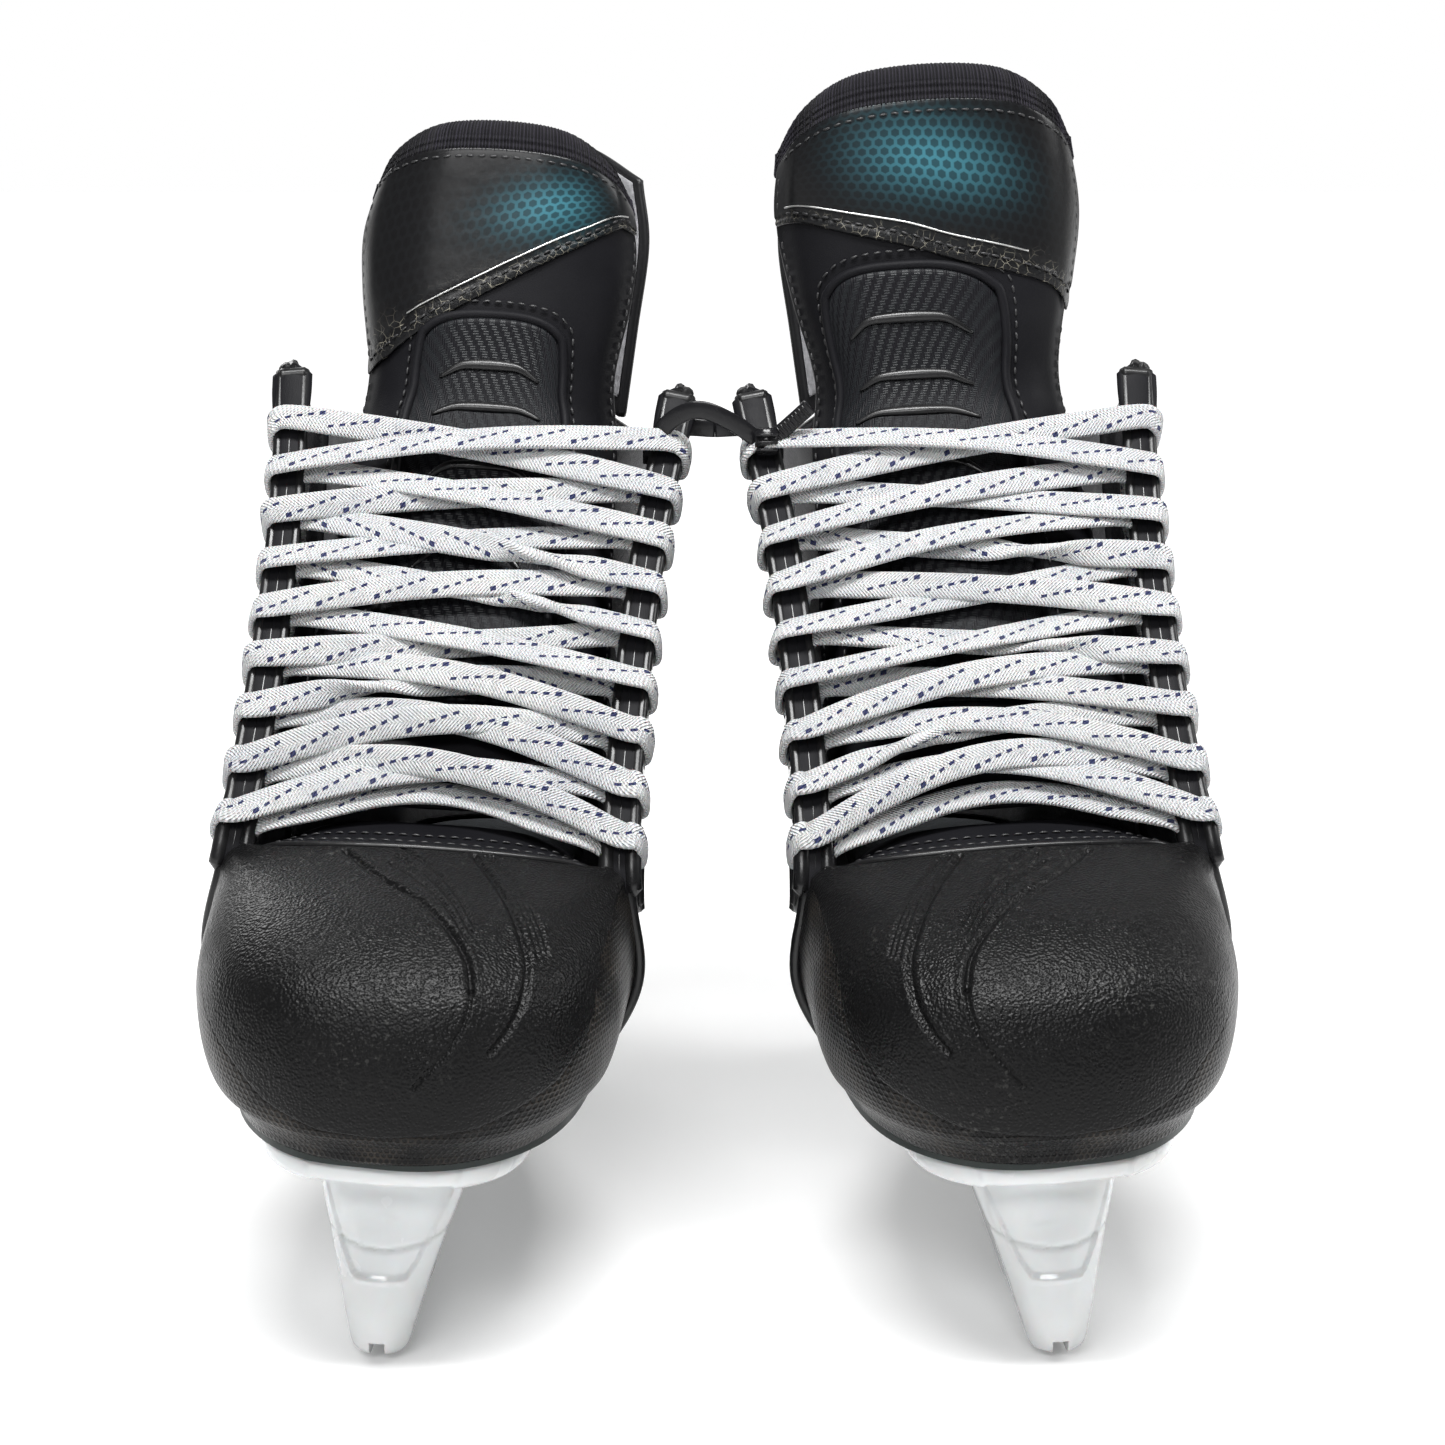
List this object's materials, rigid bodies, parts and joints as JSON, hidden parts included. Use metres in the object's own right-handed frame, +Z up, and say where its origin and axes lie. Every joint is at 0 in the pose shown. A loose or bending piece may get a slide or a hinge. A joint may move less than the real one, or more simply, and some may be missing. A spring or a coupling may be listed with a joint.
{
  "type": "pair of ice hockey skates",
  "caption": "Pair of laced ice hockey boots on white blade holders, leaning together and joined by a cable tie at the collars; runners removed.",
  "frame": {"origin": "on the ground midway between the two skates, at the middle of their overall length", "axes": "+X towards the wearer's left skate, +Y from toes to heels, +Z up"},
  "size_m": [0.258, 0.2913, 0.2992],
  "materials": {
    "white_plastic": "glossy white moulded nylon, lightly scuffed",
    "trigger_plastic": "satin dark grey moulded plastic",
    "steel": "plain steel",
    "outsole_composite": "satin dark grey-green composite",
    "insole_foam": "matte fabric-topped foam",
    "toe_plastic": "pebble-grained black plastic with satin shine and light scuffs",
    "matte_leather": "matte black synthetic leather",
    "boot_shell": "glossy black composite",
    "facing_gloss": "glossy black coated facing",
    "eyelet_metal": "black enamelled eyelets",
    "guard_plastic": "satin black moulded plastic with pale lining",
    "lining": "brushed dark lining",
    "lace_cotton": "white woven flat lace with navy tracer",
    "felt": "dense dark grey felt",
    "panel_gloss": "glossy black film with teal hexagon pattern",
    "patch_rubber": "moulded rubber with twill texture",
    "knit": "ribbed black elastic knit",
    "tie_nylon": "glossy black nylon"
  },
  "bodies": {
    "right_skate": {"right_holder": "white_plastic", "right_trigger_pin": "steel", "right_trigger_spring": "steel", "right_holder_rivets": "steel", "right_outsole": "outsole_composite", "right_insole": "insole_foam", "right_toe_cap": "toe_plastic", "right_vamp": "matte_leather", "right_quarter_inner": "boot_shell", "right_quarter_outer": "boot_shell", "right_liner_inner": "lining", "right_liner_outer": "lining", "right_heel_stay": "boot_shell", "right_facing_inner": "facing_gloss", "right_facing_outer": "facing_gloss", "right_eyelets_inner": "eyelet_metal", "right_eyelets_outer": "eyelet_metal", "right_tongue": "matte_leather", "right_lace": "lace_cotton", "cable_tie_strap": "tie_nylon", "cable_tie_head": "tie_nylon"},
    "right_tongue_top": {"right_tongue_top": "matte_leather", "right_tongue_felt": "felt", "right_tongue_panel": "panel_gloss", "right_tongue_patch": "patch_rubber", "right_tongue_binding": "knit"},
    "right_tendon_guard": {"right_tendon_guard": "guard_plastic", "right_guard_rivets": "steel"},
    "right_trigger": {"right_trigger": "trigger_plastic"},
    "left_skate": {"left_holder": "white_plastic", "left_trigger_pin": "steel", "left_trigger_spring": "steel", "left_holder_rivets": "steel", "left_outsole": "outsole_composite", "left_insole": "insole_foam", "left_toe_cap": "toe_plastic", "left_vamp": "matte_leather", "left_quarter_inner": "boot_shell", "left_quarter_outer": "boot_shell", "left_liner_inner": "lining", "left_liner_outer": "lining", "left_heel_stay": "boot_shell", "left_facing_inner": "facing_gloss", "left_facing_outer": "facing_gloss", "left_eyelets_inner": "eyelet_metal", "left_eyelets_outer": "eyelet_metal", "left_tongue": "matte_leather", "left_lace": "lace_cotton"},
    "left_tongue_top": {"left_tongue_top": "matte_leather", "left_tongue_felt": "felt", "left_tongue_panel": "panel_gloss", "left_tongue_patch": "patch_rubber", "left_tongue_binding": "knit"},
    "left_tendon_guard": {"left_tendon_guard": "guard_plastic", "left_guard_rivets": "steel"},
    "left_trigger": {"left_trigger": "trigger_plastic"}
  },
  "joints": [
    {"name": "pair_hinge", "type": "hinge", "parent": "right_skate", "child": "left_skate", "pos_m": [0.00981, 0.02846, 0.20486], "axis": [0, 1, 0], "range_deg": [-4, 10]},
    {"name": "right_tongue_flex", "type": "hinge", "parent": "right_skate", "child": "right_tongue_top", "pos_m": [-0.06264, 0.02476, 0.21702], "axis": [0.9977, -0.0331, -0.0593], "range_deg": [-4, 35], "stiffness_Nm_per_rad": 0.9},
    {"name": "right_guard_flex", "type": "hinge", "parent": "right_skate", "child": "right_tendon_guard", "pos_m": [-0.05989, 0.11902, 0.21053], "axis": [-0.9977, 0.0331, 0.0593], "range_deg": [0, 22], "stiffness_Nm_per_rad": 3},
    {"name": "right_trigger_pull", "type": "hinge", "parent": "right_skate", "child": "right_trigger", "pos_m": [-0.07271, 0.0449, 0.03634], "axis": [-0.9977, 0.0331, 0.0593], "range_deg": [0, 16], "stiffness_Nm_per_rad": 0.05, "springref_deg": -17.19},
    {"name": "left_tongue_flex", "type": "hinge", "parent": "left_skate", "child": "left_tongue_top", "pos_m": [0.06264, 0.02476, 0.21702], "axis": [0.9977, 0.0331, 0.0593], "range_deg": [-4, 35], "stiffness_Nm_per_rad": 0.9},
    {"name": "left_guard_flex", "type": "hinge", "parent": "left_skate", "child": "left_tendon_guard", "pos_m": [0.05989, 0.11902, 0.21053], "axis": [-0.9977, -0.0331, -0.0593], "range_deg": [0, 22], "stiffness_Nm_per_rad": 3},
    {"name": "left_trigger_pull", "type": "hinge", "parent": "left_skate", "child": "left_trigger", "pos_m": [0.07271, 0.0449, 0.03634], "axis": [-0.9977, -0.0331, -0.0593], "range_deg": [0, 16], "stiffness_Nm_per_rad": 0.05, "springref_deg": -17.19}
  ]
}
